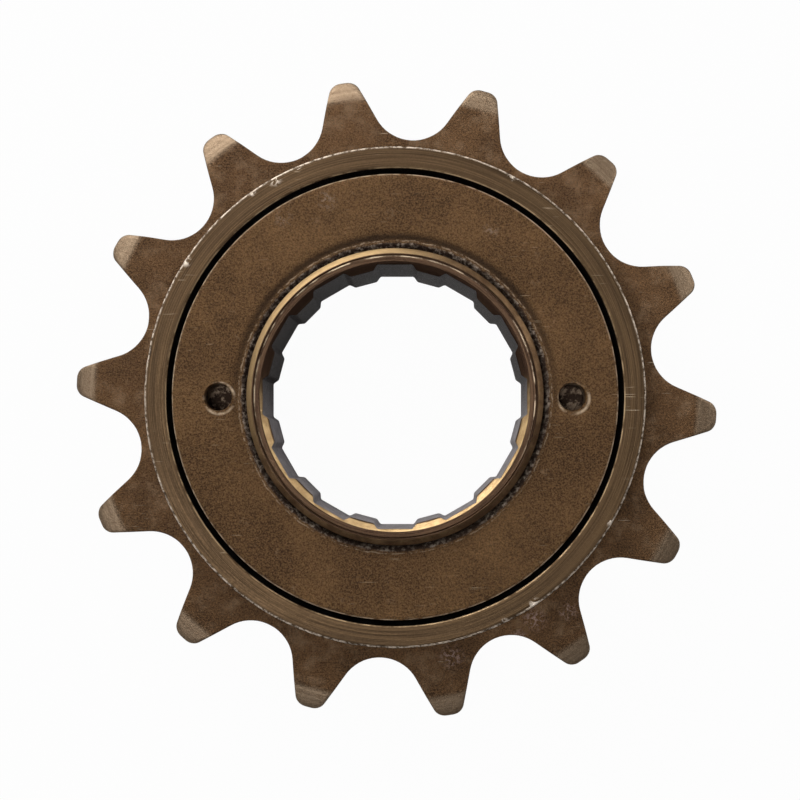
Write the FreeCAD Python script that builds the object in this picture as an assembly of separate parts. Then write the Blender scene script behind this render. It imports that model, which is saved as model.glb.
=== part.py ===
"""A 14-tooth single speed freewheel for a half-inch bicycle chain.

Millimetres. The axis is Z, z = 0 is the rear face of the core, which seats on the hub, and +Z points
outboard, to the face with the two spanner holes. Seen from +Z, the sprocket drives the core clockwise
and coasts anticlockwise.
"""

import math
import os

import FreeCAD
import Part

Vector = FreeCAD.Vector
AXIS = Vector(0, 0, 1)
CENTRE = Vector(0, 0, 0)

# Chain and sprocket teeth
chain_pitch = 12.7
tooth_count = 14
roller_diameter = 7.75
roller_seat_clearance = 0.085
roller_seat_half_angle = 57.3
tooth_tip_above_pitch = 2.04
tooth_tip_corner_radius = 1.2
tooth_thickness = 3.0
tooth_bevel_width = 2.15
tooth_bevel_depth = 0.7
tooth_phase = 22.5

# Bearing balls and their races
ball_diameter = 3.175
ball_circle_radius = 19.4
ball_gap = 0.08
race_clearance = 0.06

# Sprocket barrel and its front ring
barrel_wall = 2.05
ring_edge_chamfer = 0.18
barrel_edge_chamfer = 0.5
tooth_root_fillet = 0.45
ring_face_to_teeth = 3.3
ring_face_below_cap = 0.1
barrel_rear_clearance = 0.1
dust_gap = 0.5

# Ratchet inside the sprocket
ratchet_count = 20
ratchet_overhang = 0.65
ratchet_depth = 1.2
ratchet_ring_thickness = 3.95
ratchet_crest_land = 2.6
ratchet_face_clearance = 0.1

# Core
rear_seat_radius = 17.2
rear_seat_height = 0.8
rear_flange_thickness = 1.76
ratchet_to_core_gap = 0.25
hub_thread_minor_radius = 14.46
hub_thread_mouth = 0.6
hub_thread_length = 7.2
thread_relief_radius = 15.1
thread_relief_width = 0.8
cap_thread_radius = 13.6
lip_above_cap = 0.9
lip_thread_above_cap = 0.45
lip_land_radius = 13.05

# Remover splines in the core's bore
spline_count = 12
spline_phase = 15.0
spline_crest_radius = 11.7
spline_crest_half_angle = 4.9
spline_root_radius = 12.15
spline_root_half_angle = 7.3
spline_corner_radius = 0.18
spline_lead_in_radius = 12.33
spline_lead_in_depth = 0.5

# Pawls, with their hair springs
pawl_heel_angles = (40.0, 220.0)
pawl_heel_radius = 1.3
pawl_tip_reach = 5.7
pawl_under_reach = 5.2
pawl_under_height = 0.45
pawl_width = 3.35
pawl_side_clearance = 0.08
pawl_clearance = 0.05
pawl_floor_clearance = 0.25
spring_wire = 0.3
spring_bend_radius = 0.19
spring_leg_start = 2.4
spring_leg_length = 2.0
spring_clearance = 0.03
spring_slot_width = 0.9

# Cap, which is screwed on the core and carries the front race, with the shims under it
cap_rim_thickness = 1.56
cap_rim_round = 0.2
cap_bore_clearance = 0.05
cap_mouth_chamfer = 0.32
cap_dish_outer_radius = 15.15
cap_dish_inner_radius = 14.4
cap_dish_depth = 0.18
spanner_hole_radius = 1.25
spanner_hole_circle = 16.25
spanner_hole_depth = 2.2
shim_thicknesses = (0.2, 0.1)
shim_edge_inset = 0.75
shim_bore_clearance = 0.15

# Two lengths count as the same below this difference
same_length = 1e-6

# Worked out from the sizes above
ball_radius = ball_diameter / 2
race_radius = ball_radius + race_clearance
pitch_radius = chain_pitch / (2 * math.sin(math.pi / tooth_count))
roller_seat_radius = roller_diameter / 2 + roller_seat_clearance
tooth_tip_radius = pitch_radius + tooth_tip_above_pitch
barrel_bore_radius = ball_circle_radius + race_radius
barrel_radius = barrel_bore_radius + barrel_wall
cap_radius = barrel_bore_radius - dust_gap
ratchet_crest_radius = ball_circle_radius - ratchet_overhang
ratchet_root_radius = ratchet_crest_radius + ratchet_depth
pawl_land_radius = ratchet_crest_radius - ratchet_to_core_gap
pawl_outer_radius = pawl_land_radius - pawl_clearance
pawl_pivot_radius = pawl_outer_radius - pawl_heel_radius
cap_bore_radius = cap_thread_radius + cap_bore_clearance
cap_nose_radius = ball_circle_radius - race_radius
shim_outer_radius = cap_nose_radius - shim_edge_inset

rear_ball_z = rear_seat_height + rear_flange_thickness + race_radius
front_ball_z = rear_ball_z + 2 * race_radius + ratchet_ring_thickness
ratchet_middle_z = (rear_ball_z + front_ball_z) / 2
cap_face_z = front_ball_z + race_radius + cap_rim_thickness
ring_face_z = cap_face_z - ring_face_below_cap
tooth_front_z = ring_face_z - ring_face_to_teeth
tooth_rear_z = tooth_front_z - tooth_thickness
barrel_rear_z = rear_seat_height + barrel_rear_clearance
lip_face_z = cap_face_z + lip_above_cap
land_rise = math.sqrt(race_radius**2 - (ball_circle_radius - pawl_land_radius) ** 2)
land_rear_z = rear_ball_z + land_rise
land_front_z = front_ball_z - land_rise
cap_nose_z = land_front_z + sum(shim_thicknesses)
spline_rear_z = hub_thread_length + thread_relief_width
uncut_bore_radius = 2 * spline_crest_radius - spline_lead_in_radius


def polar(radius, degrees, z=0.0):
    """The point at that radius and angle."""
    angle = math.radians(degrees)
    return Vector(radius * math.cos(angle), radius * math.sin(angle), z)


def section(radius, z):
    """A point of a turned section: radius along X, height along Z."""
    return Vector(radius, 0, z)


def line(start, end):
    return Part.LineSegment(start, end).toShape()


def arc(start, middle, end):
    return Part.Arc(start, middle, end).toShape()


def face_of(edges):
    return Part.Face(Part.Wire(edges))


def closed_lines(points):
    """The edges of a closed outline of straight lines."""
    return [line(start, end) for start, end in zip(points, points[1:] + points[:1])]


def turned(edges):
    """The solid that a closed section makes when it is turned about the axis."""
    return face_of(edges).revolve(CENTRE, AXIS, 360)


def race_point(ball_z, degrees):
    """A point of the race round a ball of the row at that height. 0 is outward and 90 is forward."""
    angle = math.radians(degrees)
    return section(
        ball_circle_radius + race_radius * math.cos(angle),
        ball_z + race_radius * math.sin(angle),
    )


def prism(edges, low, high):
    """A closed outline at z = 0, raised to fill the heights from low to high."""
    solid = face_of(edges).extrude(AXIS * (high - low))
    solid.translate(AXIS * low)
    return solid


def tooth_outline():
    """The edges of the whole toothed outline, tooth by tooth, with a roller seat after each."""
    half_pitch = 180.0 / tooth_count
    seat_end = half_pitch + roller_seat_half_angle
    flank_lean = math.radians(90 - seat_end)
    seat_centre = polar(pitch_radius, half_pitch)
    flank_start = seat_centre + polar(roller_seat_radius, 180 + seat_end)
    along = Vector(math.cos(flank_lean), -math.sin(flank_lean), 0)
    inward = Vector(-math.sin(flank_lean), -math.cos(flank_lean), 0)
    # the tip corner's centre lies one corner radius inside both the flank and the tip circle
    offset = flank_start + inward * tooth_tip_corner_radius
    reach = tooth_tip_radius - tooth_tip_corner_radius
    run = -offset.dot(along) + math.sqrt(
        offset.dot(along) ** 2 - offset.dot(offset) + reach**2
    )
    corner_centre = offset + along * run
    flank_end = flank_start + along * run
    tip_start = corner_centre * (tooth_tip_radius / corner_centre.Length)
    corner_middle = corner_centre + (
        (flank_end - corner_centre) + (tip_start - corner_centre)
    ).normalize() * tooth_tip_corner_radius

    def mirrored(point):
        return Vector(point.x, -point.y, 0)

    edges = []
    for tooth in range(tooth_count):
        turn = tooth_phase + tooth * 2 * half_pitch
        shapes = [
            line(mirrored(flank_start), mirrored(flank_end)),
            arc(mirrored(flank_end), mirrored(corner_middle), mirrored(tip_start)),
            arc(mirrored(tip_start), Vector(tooth_tip_radius, 0, 0), tip_start),
            arc(tip_start, corner_middle, flank_end),
            line(flank_end, flank_start),
            arc(
                flank_start,
                polar(pitch_radius - roller_seat_radius, half_pitch),
                seat_centre + polar(roller_seat_radius, 180 + half_pitch - roller_seat_half_angle),
            ),
        ]
        for shape in shapes:
            shape.rotate(CENTRE, AXIS, turn)
            edges.append(shape)
    return edges


def toothed_disc():
    """The sprocket's teeth, bevelled on both sides towards their tips."""
    bevel_radius = tooth_tip_radius - tooth_bevel_width
    blank = turned(
        closed_lines(
            [
                section(barrel_bore_radius, tooth_rear_z),
                section(bevel_radius, tooth_rear_z),
                section(tooth_tip_radius, tooth_rear_z + tooth_bevel_depth),
                section(tooth_tip_radius, tooth_front_z - tooth_bevel_depth),
                section(bevel_radius, tooth_front_z),
                section(barrel_bore_radius, tooth_front_z),
            ]
        )
    )
    return prism(tooth_outline(), tooth_rear_z, tooth_front_z).common(blank)


def barrel():
    """The turned barrel, solid to its bore, with a fillet into the teeth on each side."""
    root = tooth_root_fillet
    bend = root * (1 - math.sqrt(0.5))
    ring = ring_edge_chamfer
    rear = barrel_edge_chamfer
    edges = [
        line(section(barrel_bore_radius, barrel_rear_z), section(barrel_radius - rear, barrel_rear_z)),
        line(section(barrel_radius - rear, barrel_rear_z), section(barrel_radius, barrel_rear_z + rear)),
        line(section(barrel_radius, barrel_rear_z + rear), section(barrel_radius, tooth_rear_z - root)),
        arc(
            section(barrel_radius, tooth_rear_z - root),
            section(barrel_radius + bend, tooth_rear_z - bend),
            section(barrel_radius + root, tooth_rear_z),
        ),
        line(section(barrel_radius + root, tooth_rear_z), section(barrel_radius + root, tooth_front_z)),
        arc(
            section(barrel_radius + root, tooth_front_z),
            section(barrel_radius + bend, tooth_front_z + bend),
            section(barrel_radius, tooth_front_z + root),
        ),
        line(section(barrel_radius, tooth_front_z + root), section(barrel_radius, ring_face_z - ring)),
        line(section(barrel_radius, ring_face_z - ring), section(barrel_radius - ring, ring_face_z)),
        line(section(barrel_radius - ring, ring_face_z), section(barrel_bore_radius, ring_face_z)),
        line(section(barrel_bore_radius, ring_face_z), section(barrel_bore_radius, front_ball_z)),
        arc(race_point(front_ball_z, 0), race_point(front_ball_z, -45), race_point(front_ball_z, -90)),
        line(race_point(front_ball_z, -90), section(ratchet_crest_radius, front_ball_z - race_radius)),
        line(
            section(ratchet_crest_radius, front_ball_z - race_radius),
            section(ratchet_crest_radius, rear_ball_z + race_radius),
        ),
        line(section(ratchet_crest_radius, rear_ball_z + race_radius), race_point(rear_ball_z, 90)),
        arc(race_point(rear_ball_z, 90), race_point(rear_ball_z, 45), race_point(rear_ball_z, 0)),
        line(race_point(rear_ball_z, 0), section(barrel_bore_radius, barrel_rear_z)),
    ]
    return turned(edges)


def pawl_tip_turn(radius):
    """How far round from its pivot a pawl's tip is, in degrees, when it has swung out to that radius."""
    tip = pawl_tip_corner()
    beside = pawl_pivot_radius**2 + radius**2 - tip.dot(tip)
    return math.degrees(math.acos(beside / (2 * pawl_pivot_radius * radius)))


def ratchet_outline():
    """The sawtooth inside the sprocket. Its driving faces lean as a pawl's tip swings past them."""
    step = 360.0 / ratchet_count
    clearance = math.degrees(ratchet_face_clearance / ratchet_crest_radius)
    first_crest = pawl_heel_angles[0] + pawl_tip_turn(ratchet_crest_radius) + clearance
    first_root = pawl_heel_angles[0] + pawl_tip_turn(ratchet_root_radius) + clearance
    points = []
    for tooth in range(ratchet_count):
        turn = tooth * step
        points.append(polar(ratchet_crest_radius, first_crest + turn))
        points.append(polar(ratchet_crest_radius, first_crest + ratchet_crest_land + turn))
        points.append(polar(ratchet_root_radius, first_root + step + turn))
    return closed_lines(points)


def sprocket():
    """Teeth, barrel, ball races and ratchet, which are all one piece."""
    ring = barrel().fuse(toothed_disc())
    ratchet = prism(ratchet_outline(), rear_ball_z, front_ball_z)
    return ring.cut(ratchet).removeSplitter()


def in_pawl_frame(along, out):
    """A point beside the pivot of a pawl at angle 0: how far round from it, and how far outward."""
    return Vector(pawl_pivot_radius + out, along, 0)


def pawl_tip_corner():
    """The outer corner of a pawl's tip, round from and outward from its pivot, when it is folded in."""
    out = math.sqrt(pawl_outer_radius**2 - pawl_tip_reach**2) - pawl_pivot_radius
    return Vector(pawl_tip_reach, out, 0)


def pawl_underside():
    """Where a folded pawl's underside leaves its heel, and its directions along the pawl and inward."""
    reach = math.hypot(pawl_under_reach, pawl_under_height)
    tip_angle = math.atan2(-pawl_under_height, pawl_under_reach)
    angle = tip_angle - math.acos(pawl_heel_radius / reach)
    start = Vector(math.cos(angle), math.sin(angle), 0) * pawl_heel_radius
    along = (Vector(pawl_under_reach, -pawl_under_height, 0) - start).normalize()
    inward = Vector(along.y, -along.x, 0)
    return start, along, inward


def under_pawl(run, depth):
    """A point that far along a folded pawl's underside and that far inward of it."""
    start, along, inward = pawl_underside()
    point = start + along * run + inward * depth
    return in_pawl_frame(point.x, point.y)


def pawl(heel_angle):
    """A finger with a round heel, as it lies folded in its pocket."""
    tip = pawl_tip_corner()
    start = pawl_underside()[0]
    tip_turn = math.degrees(math.asin(tip.x / pawl_outer_radius))
    tip_under = in_pawl_frame(pawl_under_reach, -pawl_under_height)
    corner = polar(pawl_outer_radius, tip_turn)
    finger = [
        arc(polar(pawl_outer_radius, 0), polar(pawl_outer_radius, tip_turn / 2), corner),
        line(corner, tip_under),
        line(tip_under, in_pawl_frame(start.x, start.y)),
        line(in_pawl_frame(start.x, start.y), in_pawl_frame(0, 0)),
        line(in_pawl_frame(0, 0), polar(pawl_outer_radius, 0)),
    ]
    low = ratchet_middle_z - pawl_width / 2
    heel = Part.makeCylinder(pawl_heel_radius, pawl_width, in_pawl_frame(0, 0) + AXIS * low, AXIS)
    solid = prism(finger, low, low + pawl_width).fuse(heel).removeSplitter()
    solid.rotate(CENTRE, AXIS, heel_angle)
    return solid


def pawl_pocket(heel_angle):
    """What is milled out of the core for a pawl and its spring."""
    socket = pawl_heel_radius + pawl_clearance
    past_land = pawl_outer_radius - pawl_pivot_radius + pawl_heel_radius
    run = pawl_tip_reach + 2 * pawl_floor_clearance
    floor_start = under_pawl(0, pawl_floor_clearance / 2)
    floor_end = under_pawl(run, pawl_floor_clearance)
    outline = closed_lines(
        [
            in_pawl_frame(-socket, 0),
            in_pawl_frame(-socket, past_land),
            Vector(pawl_pivot_radius + past_land, floor_end.y, 0),
            floor_end,
            floor_start,
            in_pawl_frame(0, 0),
        ]
    )
    low = ratchet_middle_z - pawl_width / 2 - pawl_side_clearance
    high = ratchet_middle_z + pawl_width / 2 + pawl_side_clearance
    heel = Part.makeCylinder(socket, high - low, in_pawl_frame(0, 0) + AXIS * low, AXIS)
    slot_depth = spring_wire + 2 * spring_bend_radius + 2 * spring_clearance
    slot = closed_lines(
        [
            under_pawl(spring_leg_start - spring_wire, 0),
            under_pawl(run, 0),
            under_pawl(run, slot_depth),
            under_pawl(spring_leg_start - spring_wire, slot_depth),
        ]
    )
    spring_low = ratchet_middle_z - spring_slot_width / 2
    pocket = prism(outline, low, high).fuse(heel)
    pocket = pocket.fuse(prism(slot, spring_low, spring_low + spring_slot_width))
    pocket.rotate(CENTRE, AXIS, heel_angle)
    return pocket


def pawl_spring(heel_angle):
    """A hairpin of wire under a pawl: one leg on the floor of its slot, the other against the pawl."""
    upper = spring_clearance + spring_wire / 2
    lower = upper + 2 * spring_bend_radius
    turn = spring_leg_start + spring_leg_length
    path = Part.Wire(
        [
            line(under_pawl(spring_leg_start, upper), under_pawl(turn, upper)),
            arc(
                under_pawl(turn, upper),
                under_pawl(turn + spring_bend_radius, upper + spring_bend_radius),
                under_pawl(turn, lower),
            ),
            line(under_pawl(turn, lower), under_pawl(spring_leg_start, lower)),
        ]
    )
    start = under_pawl(spring_leg_start, upper)
    direction = under_pawl(turn, upper) - start
    round_section = Part.Wire(Part.makeCircle(spring_wire / 2, start, direction))
    solid = path.makePipeShell([round_section], True, False)
    solid.translate(AXIS * ratchet_middle_z)
    solid.rotate(CENTRE, AXIS, heel_angle)
    return solid


def spline_bore():
    """The bore between the remover splines: flat crests and flat roots with rounded corners."""
    step = 360.0 / spline_count
    points = []
    for spline in range(spline_count):
        middle = spline_phase + spline * step
        root_edge = step / 2 - spline_root_half_angle
        points.append(polar(spline_root_radius, middle - root_edge))
        points.append(polar(spline_crest_radius, middle - spline_crest_half_angle))
        points.append(polar(spline_crest_radius, middle + spline_crest_half_angle))
        points.append(polar(spline_root_radius, middle + root_edge))
    solid = prism(closed_lines(points), spline_rear_z, lip_face_z)
    corners = [
        edge
        for edge in solid.Edges
        if abs(edge.Length - (lip_face_z - spline_rear_z)) < same_length
        and abs(math.hypot(edge.Vertexes[0].X, edge.Vertexes[0].Y) - spline_root_radius) < same_length
    ]
    return solid.makeFillet(spline_corner_radius, corners)


def core():
    """The inner body: hub thread, remover splines, rear race, pawl pockets and the thread for the cap."""
    thread_top_z = cap_face_z + lip_thread_above_cap
    outside = [
        line(section(thread_relief_radius, 0), section(rear_seat_radius, 0)),
        line(section(rear_seat_radius, 0), section(rear_seat_radius, rear_seat_height)),
        line(section(rear_seat_radius, rear_seat_height), section(cap_radius, rear_seat_height)),
        line(section(cap_radius, rear_seat_height), section(cap_radius, rear_ball_z - race_radius)),
        line(section(cap_radius, rear_ball_z - race_radius), race_point(rear_ball_z, -90)),
        arc(race_point(rear_ball_z, -90), race_point(rear_ball_z, -135), race_point(rear_ball_z, -180)),
        arc(
            race_point(rear_ball_z, 180),
            race_point(rear_ball_z, (180 + land_angle()) / 2),
            section(pawl_land_radius, land_rear_z),
        ),
        line(section(pawl_land_radius, land_rear_z), section(pawl_land_radius, land_front_z)),
        line(section(pawl_land_radius, land_front_z), section(cap_thread_radius, land_front_z)),
        line(section(cap_thread_radius, land_front_z), section(cap_thread_radius, thread_top_z)),
        line(section(cap_thread_radius, thread_top_z), section(lip_land_radius, lip_face_z)),
        line(section(lip_land_radius, lip_face_z), section(spline_lead_in_radius, lip_face_z)),
        line(
            section(spline_lead_in_radius, lip_face_z),
            section(uncut_bore_radius, lead_in_z(uncut_bore_radius)),
        ),
        line(
            section(uncut_bore_radius, lead_in_z(uncut_bore_radius)),
            section(uncut_bore_radius, spline_rear_z),
        ),
        line(section(uncut_bore_radius, spline_rear_z), section(thread_relief_radius, spline_rear_z)),
        line(section(thread_relief_radius, spline_rear_z), section(thread_relief_radius, hub_thread_length)),
        line(
            section(thread_relief_radius, hub_thread_length),
            section(hub_thread_minor_radius, hub_thread_length),
        ),
        line(
            section(hub_thread_minor_radius, hub_thread_length),
            section(hub_thread_minor_radius, hub_thread_mouth),
        ),
        line(section(hub_thread_minor_radius, hub_thread_mouth), section(thread_relief_radius, 0)),
    ]
    solid = turned(outside).cut(spline_bore())
    for heel_angle in pawl_heel_angles:
        solid = solid.cut(pawl_pocket(heel_angle))
    return solid.removeSplitter()


def land_angle():
    """Where the rear race ends at the pawl land, as an angle round the ball."""
    return math.degrees(math.atan2(land_rise, pawl_land_radius - ball_circle_radius))


def lead_in_z(radius):
    """The height of the splines' lead-in cone at that radius."""
    slope = spline_lead_in_depth / (spline_lead_in_radius - spline_crest_radius)
    return lip_face_z - (spline_lead_in_radius - radius) * slope


def cap():
    """The round nut that holds the freewheel together. Its nose carries the front race."""
    round_bend = cap_rim_round * (1 - math.sqrt(0.5))
    mouth_radius = cap_bore_radius + cap_mouth_chamfer
    dish_z = cap_face_z - cap_dish_depth
    edges = [
        line(section(cap_bore_radius, cap_nose_z), section(cap_nose_radius, cap_nose_z)),
        line(section(cap_nose_radius, cap_nose_z), race_point(front_ball_z, 180)),
        arc(race_point(front_ball_z, 180), race_point(front_ball_z, 135), race_point(front_ball_z, 90)),
        line(race_point(front_ball_z, 90), section(cap_radius, front_ball_z + race_radius)),
        line(section(cap_radius, front_ball_z + race_radius), section(cap_radius, cap_face_z - cap_rim_round)),
        arc(
            section(cap_radius, cap_face_z - cap_rim_round),
            section(cap_radius - round_bend, cap_face_z - round_bend),
            section(cap_radius - cap_rim_round, cap_face_z),
        ),
        line(section(cap_radius - cap_rim_round, cap_face_z), section(cap_dish_outer_radius, cap_face_z)),
        line(section(cap_dish_outer_radius, cap_face_z), section(cap_dish_inner_radius, dish_z)),
        line(section(cap_dish_inner_radius, dish_z), section(mouth_radius, dish_z)),
        line(section(mouth_radius, dish_z), section(cap_bore_radius, dish_z - cap_mouth_chamfer)),
        line(section(cap_bore_radius, dish_z - cap_mouth_chamfer), section(cap_bore_radius, cap_nose_z)),
    ]
    solid = turned(edges)
    for degrees in (0, 180):
        bottom = polar(spanner_hole_circle, degrees, cap_face_z - spanner_hole_depth)
        solid = solid.cut(Part.makeCylinder(spanner_hole_radius, spanner_hole_depth, bottom, AXIS))
    return solid


def shim(number):
    """A thin washer between the core's shoulder and the cap's nose."""
    low = land_front_z + sum(shim_thicknesses[:number])
    bore = cap_thread_radius + shim_bore_clearance
    outer = Part.makeCylinder(shim_outer_radius, shim_thicknesses[number], AXIS * low, AXIS)
    return outer.cut(Part.makeCylinder(bore, shim_thicknesses[number], AXIS * low, AXIS))


def ball_facets():
    """The triangles of a ball at the origin: an icosahedron with every side halved out to the sphere."""
    ring_z = ball_radius / math.sqrt(5)
    side = 72
    north = AXIS * ball_radius
    upper = [polar(2 * ring_z, corner * side, ring_z) for corner in range(5)]
    lower = [polar(2 * ring_z, (corner + 0.5) * side, -ring_z) for corner in range(5)]
    triangles = []
    for here in range(5):
        after = (here + 1) % 5
        triangles.append((north, upper[here], upper[after]))
        triangles.append((upper[here], lower[here], upper[after]))
        triangles.append((lower[here], lower[after], upper[after]))
        triangles.append((-north, lower[after], lower[here]))
    facets = []
    for a, b, c in triangles:
        ab, bc, ca = [(p + q).normalize() * ball_radius for p, q in ((a, b), (b, c), (c, a))]
        facets += [(a, ab, ca), (b, bc, ab), (c, ca, bc), (ab, bc, ca)]
    return facets


def ball():
    """One ball at the origin, in flat facets whose corners lie on the sphere."""
    faces = [Part.Face(Part.makePolygon([a, b, c, a])) for a, b, c in ball_facets()]
    shell = Part.makeShell(faces)
    shell.sewShape()
    return Part.Solid(shell)


def ball_row(height):
    """The balls of one row, just short of a full ring."""
    count = int(2 * math.pi * ball_circle_radius / (ball_diameter + ball_gap))
    row = []
    for number in range(count):
        turned_ball = ball()
        turned_ball.translate(polar(ball_circle_radius, 0, height))
        turned_ball.rotate(CENTRE, AXIS, number * 360.0 / count)
        row.append(turned_ball)
    return row


def main():
    os.makedirs("parts", exist_ok=True)
    pieces = {
        "sprocket_ring": sprocket(),
        "core": core(),
        "bearing_cap": cap(),
        "thick_shim": shim(0),
        "thin_shim": shim(1),
        "rear_balls": Part.makeCompound(ball_row(rear_ball_z)),
    }
    for letter, heel_angle in zip("ab", pawl_heel_angles):
        pieces["pawl_" + letter] = pawl(heel_angle)
        pieces["pawl_spring_" + letter] = pawl_spring(heel_angle)
    for number, ball in enumerate(ball_row(front_ball_z), 1):
        pieces[f"front_ball_{number:02d}"] = ball
    for name, shape in pieces.items():
        shape.exportStep(f"parts/{name}.step")


main()
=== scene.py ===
"""Looks of the 14-tooth single speed freewheel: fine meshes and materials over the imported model.

Sizes are in millimetres, as on the drawing of the part, and meshes are made in metres. The axis
is Z, and a section is a list of (radius, height) points that runs once round the metal.
"""

import math

import bmesh
import bpy
from mathutils import Matrix, Vector, noise


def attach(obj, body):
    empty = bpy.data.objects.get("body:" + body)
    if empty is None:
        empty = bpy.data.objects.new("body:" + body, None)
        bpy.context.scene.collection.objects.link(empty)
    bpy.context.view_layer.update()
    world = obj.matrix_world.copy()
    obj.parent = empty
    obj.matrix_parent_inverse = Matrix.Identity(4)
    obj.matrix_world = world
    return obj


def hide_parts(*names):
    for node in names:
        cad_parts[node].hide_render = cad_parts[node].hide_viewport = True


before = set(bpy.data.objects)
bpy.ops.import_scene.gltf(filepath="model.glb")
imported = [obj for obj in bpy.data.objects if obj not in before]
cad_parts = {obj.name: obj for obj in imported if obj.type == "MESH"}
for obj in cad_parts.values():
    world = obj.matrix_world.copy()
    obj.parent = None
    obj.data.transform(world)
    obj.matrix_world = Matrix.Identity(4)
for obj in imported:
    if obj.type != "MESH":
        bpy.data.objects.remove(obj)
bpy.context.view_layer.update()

MM = 0.001

# Sizes of the part
tooth_count = 14
tooth_phase = 22.5
pitch_radius = 12.7 / (2 * math.sin(math.pi / tooth_count))
seat_radius = 3.96
seat_half_angle = 57.3
tip_radius = pitch_radius + 2.04
tip_corner_radius = 1.2
bevel_radius = tip_radius - 2.15
bevel_depth = 0.7
tooth_front = 11.26
tooth_rear = 8.26
barrel_radius = 23.0975
bore_radius = 21.0475
root_fillet = 0.45
ring_face = 14.56
barrel_rear = 0.9
rear_edge = 0.5
ball_circle = 19.4
ball_radius = 1.5875
race_radius = 1.6475
rear_balls_z = 4.2075
front_balls_z = 11.4525
ratchet_count = 20
ratchet_crest = 18.75
ratchet_root = 19.95
ratchet_shoulder = 20.2
ratchet_phase = 17.9
crest_turn = 2.6
drive_turn = 2.1
cap_radius = 20.5475
cap_face = 14.66
cap_bore = 13.65
cap_mouth = 13.97
dish_outer = 15.15
dish_wall = 14.8
dish_foot = 14.6
dish_inner = 14.4
burr_outer = 14.24
burr_inner = 14.1
dish_depth = 0.18
cap_nose = 17.7525
cap_nose_z = 10.3755
hole_circle = 16.25
hole_radius = 1.25
hole_depth = 2.2
neck_radius = 13.6
lip_face = 15.56
lip_shoulder = 15.11
lip_land = 13.05
lead_in_radius = 12.33
lead_in_depth = 0.5
crest_radius = 11.7
crest_half_angle = 4.9
root_radius = 12.15
root_half_angle = 7.3
spline_count = 12
spline_phase = 15.0
spline_rear = 8.0
relief_radius = 15.1
thread_end = 7.2
thread_minor = 14.46
thread_major = 15.0
thread_pitch = 1.0
thread_mouth = 0.6
seat_face_radius = 17.2
seat_height = 0.8
land_radius = 18.5
land_front = 10.0735
pawl_heels = (40.0, 220.0)
pawl_pivot = 17.15
pawl_socket = 1.35
pocket_start = (0.2141, -1.2823)
pocket_way = (0.98635, 0.16465)
pocket_length = 6.2
pocket_before = -4.2
pocket_after = 20.5
pawl_half_width = 1.75
spring_half_width = 0.45
pawl_floor_depth = 0.19
spring_floor_depth = 0.74

# Marks of use: angle and reach on the ring's edge; angle, radius and reach elsewhere
edge_chips = (
    (113.0, 0.5),
    (119.0, 0.9),
    (125.0, 0.5),
    (147.0, 0.7),
    (296.0, 0.5),
    (304.0, 0.8),
    (330.0, 0.6),
    (62.0, 0.6),
)
tooth_dents = (
    (302.0, 24.6, 1.6),
    (297.0, 25.4, 1.2),
    (282.0, 25.0, 1.6),
    (309.0, 25.9, 1.2),
)
cap_smears = ((109.0, 19.1, 1.3), (122.0, 19.3, 1.1), (60.0, 17.6, 1.0))


def srgb(red, green, blue):
    """A colour given as screen values from 0 to 255, as the linear values that shaders take."""
    return tuple((value / 255) ** 2.2 for value in (red, green, blue)) + (1.0,)


def polar(radius, degrees):
    angle = math.radians(degrees)
    return Vector((radius * math.cos(angle), radius * math.sin(angle)))


def wear(degrees, scale, seed):
    """Smooth noise round the circle, from about -1 to 1."""
    spot = polar(scale, degrees)
    return noise.noise(Vector((spot.x, spot.y, seed * 17.3)))


def chip(degrees, scale, seed, rarity):
    """0 nearly everywhere round the circle, and up to 1 in a few nicks."""
    return max(0.0, wear(degrees, scale, seed) - rarity) / (1 - rarity)


def smooth(mesh, degrees=32):
    """Smooth shading, with creases where faces meet at more than that angle."""
    for polygon in mesh.polygons:
        polygon.use_smooth = True
    mesh.set_sharp_from_angle(angle=math.radians(degrees))


def piece(name, points, faces, crease=32):
    """A mesh object with points given in millimetres."""
    mesh = bpy.data.meshes.new(name)
    mesh.from_pydata([(x * MM, y * MM, z * MM) for x, y, z in points], [], faces)
    mesh.validate()
    mesh.update()
    smooth(mesh, crease)
    made = bpy.data.objects.new(name, mesh)
    bpy.context.scene.collection.objects.link(made)
    return made


def loop_faces(columns, rows):
    """Quads of a closed ring of columns, each one a closed section of that many points."""
    faces = []
    for column in range(columns):
        here = column * rows
        after = ((column + 1) % columns) * rows
        for row in range(rows):
            below = (row + 1) % rows
            faces.append((here + row, after + row, after + below, here + below))
    return faces


def ring(name, angles, section, crease=32):
    """A closed ring of metal, from the section at each angle."""
    points = []
    rows = 0
    for degrees in angles:
        column = section(degrees)
        rows = len(column)
        for radius, height in column:
            spot = polar(radius, degrees)
            points.append((spot.x, spot.y, height))
    return piece(name, points, loop_faces(len(angles), rows), crease)


def rounded(centre, radius, start, end, steps):
    """Points of a round of that radius about a centre, from one angle to the other."""
    centre_r, centre_z = centre
    turn = (end - start) / steps
    return [
        (
            centre_r + radius * math.cos(math.radians(start + turn * step)),
            centre_z + radius * math.sin(math.radians(start + turn * step)),
        )
        for step in range(steps + 1)
    ]


def race(height, start, end, steps):
    """Points of the race round a ball row."""
    return rounded((ball_circle, height), race_radius, start, end, steps)


def between(start, end, count):
    """Points from start up to but without end."""
    return [tuple(a + (b - a) * step / count for a, b in zip(start, end)) for step in range(count)]


# Sprocket ring


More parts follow.
